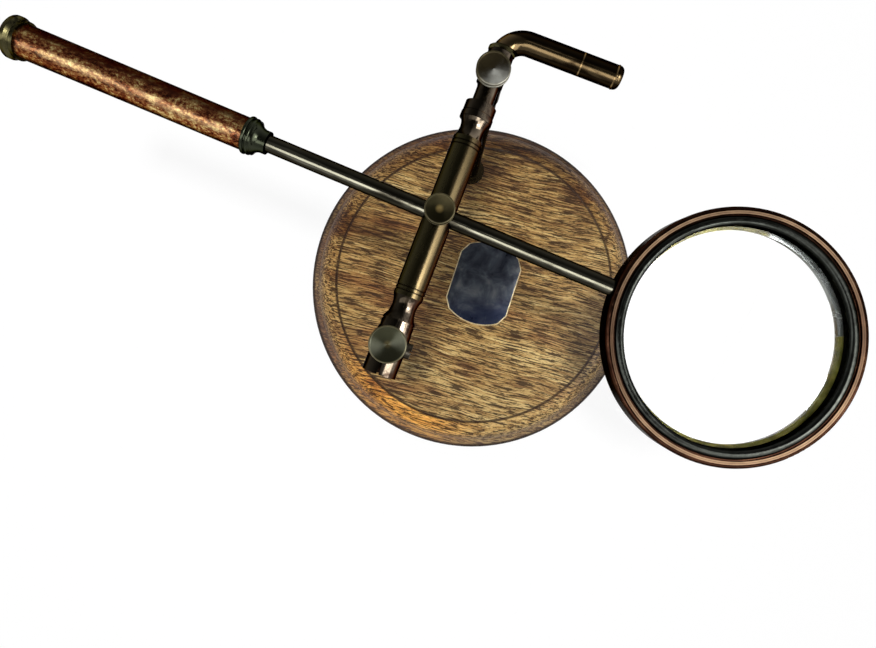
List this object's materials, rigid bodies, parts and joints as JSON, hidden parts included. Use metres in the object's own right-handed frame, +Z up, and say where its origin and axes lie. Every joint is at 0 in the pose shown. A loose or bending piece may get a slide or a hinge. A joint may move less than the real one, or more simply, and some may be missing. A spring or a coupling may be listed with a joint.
{
  "type": "stand magnifier",
  "caption": "Hand magnifier held through the cross bore of a turned boom that swivels and rolls on a post over a round moulded wooden base, clamped by thumb screws.",
  "frame": {"origin": "centre of the felt's underside, on the table", "axes": "+Z up; +Y from the middle of the base towards the post; +X to the side that the lens and the elbow's end point to"},
  "size_m": [0.3305, 0.2, 0.175],
  "materials": {
    "wood": "waxed, streaky brown grain running 20 degrees down to the right",
    "felt": "green felt",
    "plate": "blue-black plate, polished, left bare",
    "old_brass": "aged brass, polished",
    "bronze": "dark bronzed brass, polished",
    "knob_brass": "turned greenish brass",
    "steel": "plain steel",
    "rod_metal": "dark patinated brass, polished",
    "copper_grip": "mottled copper patina, polished",
    "cap_brass": "olive-gold aged brass",
    "ring_bronze": "dark bronzed brass with a bright line",
    "retainer_black": "blackened brass, polished",
    "lens_glass": "clear polished glass"
  },
  "bodies": {
    "base": {"wood_base": "wood", "felt_pad": "felt", "name_plate": "plate", "post_flange": "old_brass", "post": "old_brass", "post_washer": "steel", "post_nut": "steel"},
    "head": {"head_block": "old_brass", "swivel_screw": "steel"},
    "head_screw": {"head_knob": "knob_brass", "head_stud": "steel"},
    "boom": {"boom_bar": "old_brass", "elbow_ferrule": "cap_brass", "elbow_bend": "bronze", "elbow_leg": "bronze", "elbow_cap": "bronze", "upper_collar": "old_brass", "barrel": "old_brass", "lower_collar": "old_brass", "lower_socket": "old_brass", "side_screw": "steel"},
    "mid_screw": {"mid_knob": "knob_brass", "mid_stud": "steel"},
    "low_screw": {"low_knob": "knob_brass", "low_stud": "steel"},
    "bush": {"rod_bush": "cap_brass"},
    "magnifier": {"rod": "rod_metal", "ferrule": "rod_metal", "grip_sleeve": "copper_grip", "end_cap": "cap_brass", "lens_ring": "ring_bronze", "retaining_ring": "retainer_black", "lens": "lens_glass"}
  },
  "joints": [
    {"name": "head_swivel", "type": "hinge", "parent": "base", "child": "head", "pos_m": [0, 0.068, 0.161], "axis": [0, 0, 1], "continuous": true},
    {"name": "head_screw_turn", "type": "hinge", "parent": "head", "child": "head_screw", "pos_m": [0, 0.068, 0.161], "axis": [0, 0, 1], "range_deg": [0, 360]},
    {"name": "boom_roll", "type": "hinge", "parent": "head", "child": "boom", "pos_m": [0, 0.068, 0.161], "axis": [-0.3859, -0.9225, 0], "range_deg": [-30, 30]},
    {"name": "mid_screw_turn", "type": "hinge", "parent": "boom", "child": "mid_screw", "pos_m": [-0.02196, 0.01551, 0.161], "axis": [0, 0, 1], "range_deg": [0, 360]},
    {"name": "low_screw_turn", "type": "hinge", "parent": "boom", "child": "low_screw", "pos_m": [-0.0428, -0.03431, 0.161], "axis": [0, 0, 1], "range_deg": [0, 360]},
    {"name": "lens_turn", "type": "hinge", "parent": "boom", "child": "bush", "pos_m": [-0.02196, 0.01551, 0.161], "axis": [0.9092, -0.4163, 0], "continuous": true},
    {"name": "lens_slide", "type": "slide", "parent": "bush", "child": "magnifier", "axis": [0.9092, -0.4163, 0], "range_m": [-0.064, 0.064]}
  ]
}
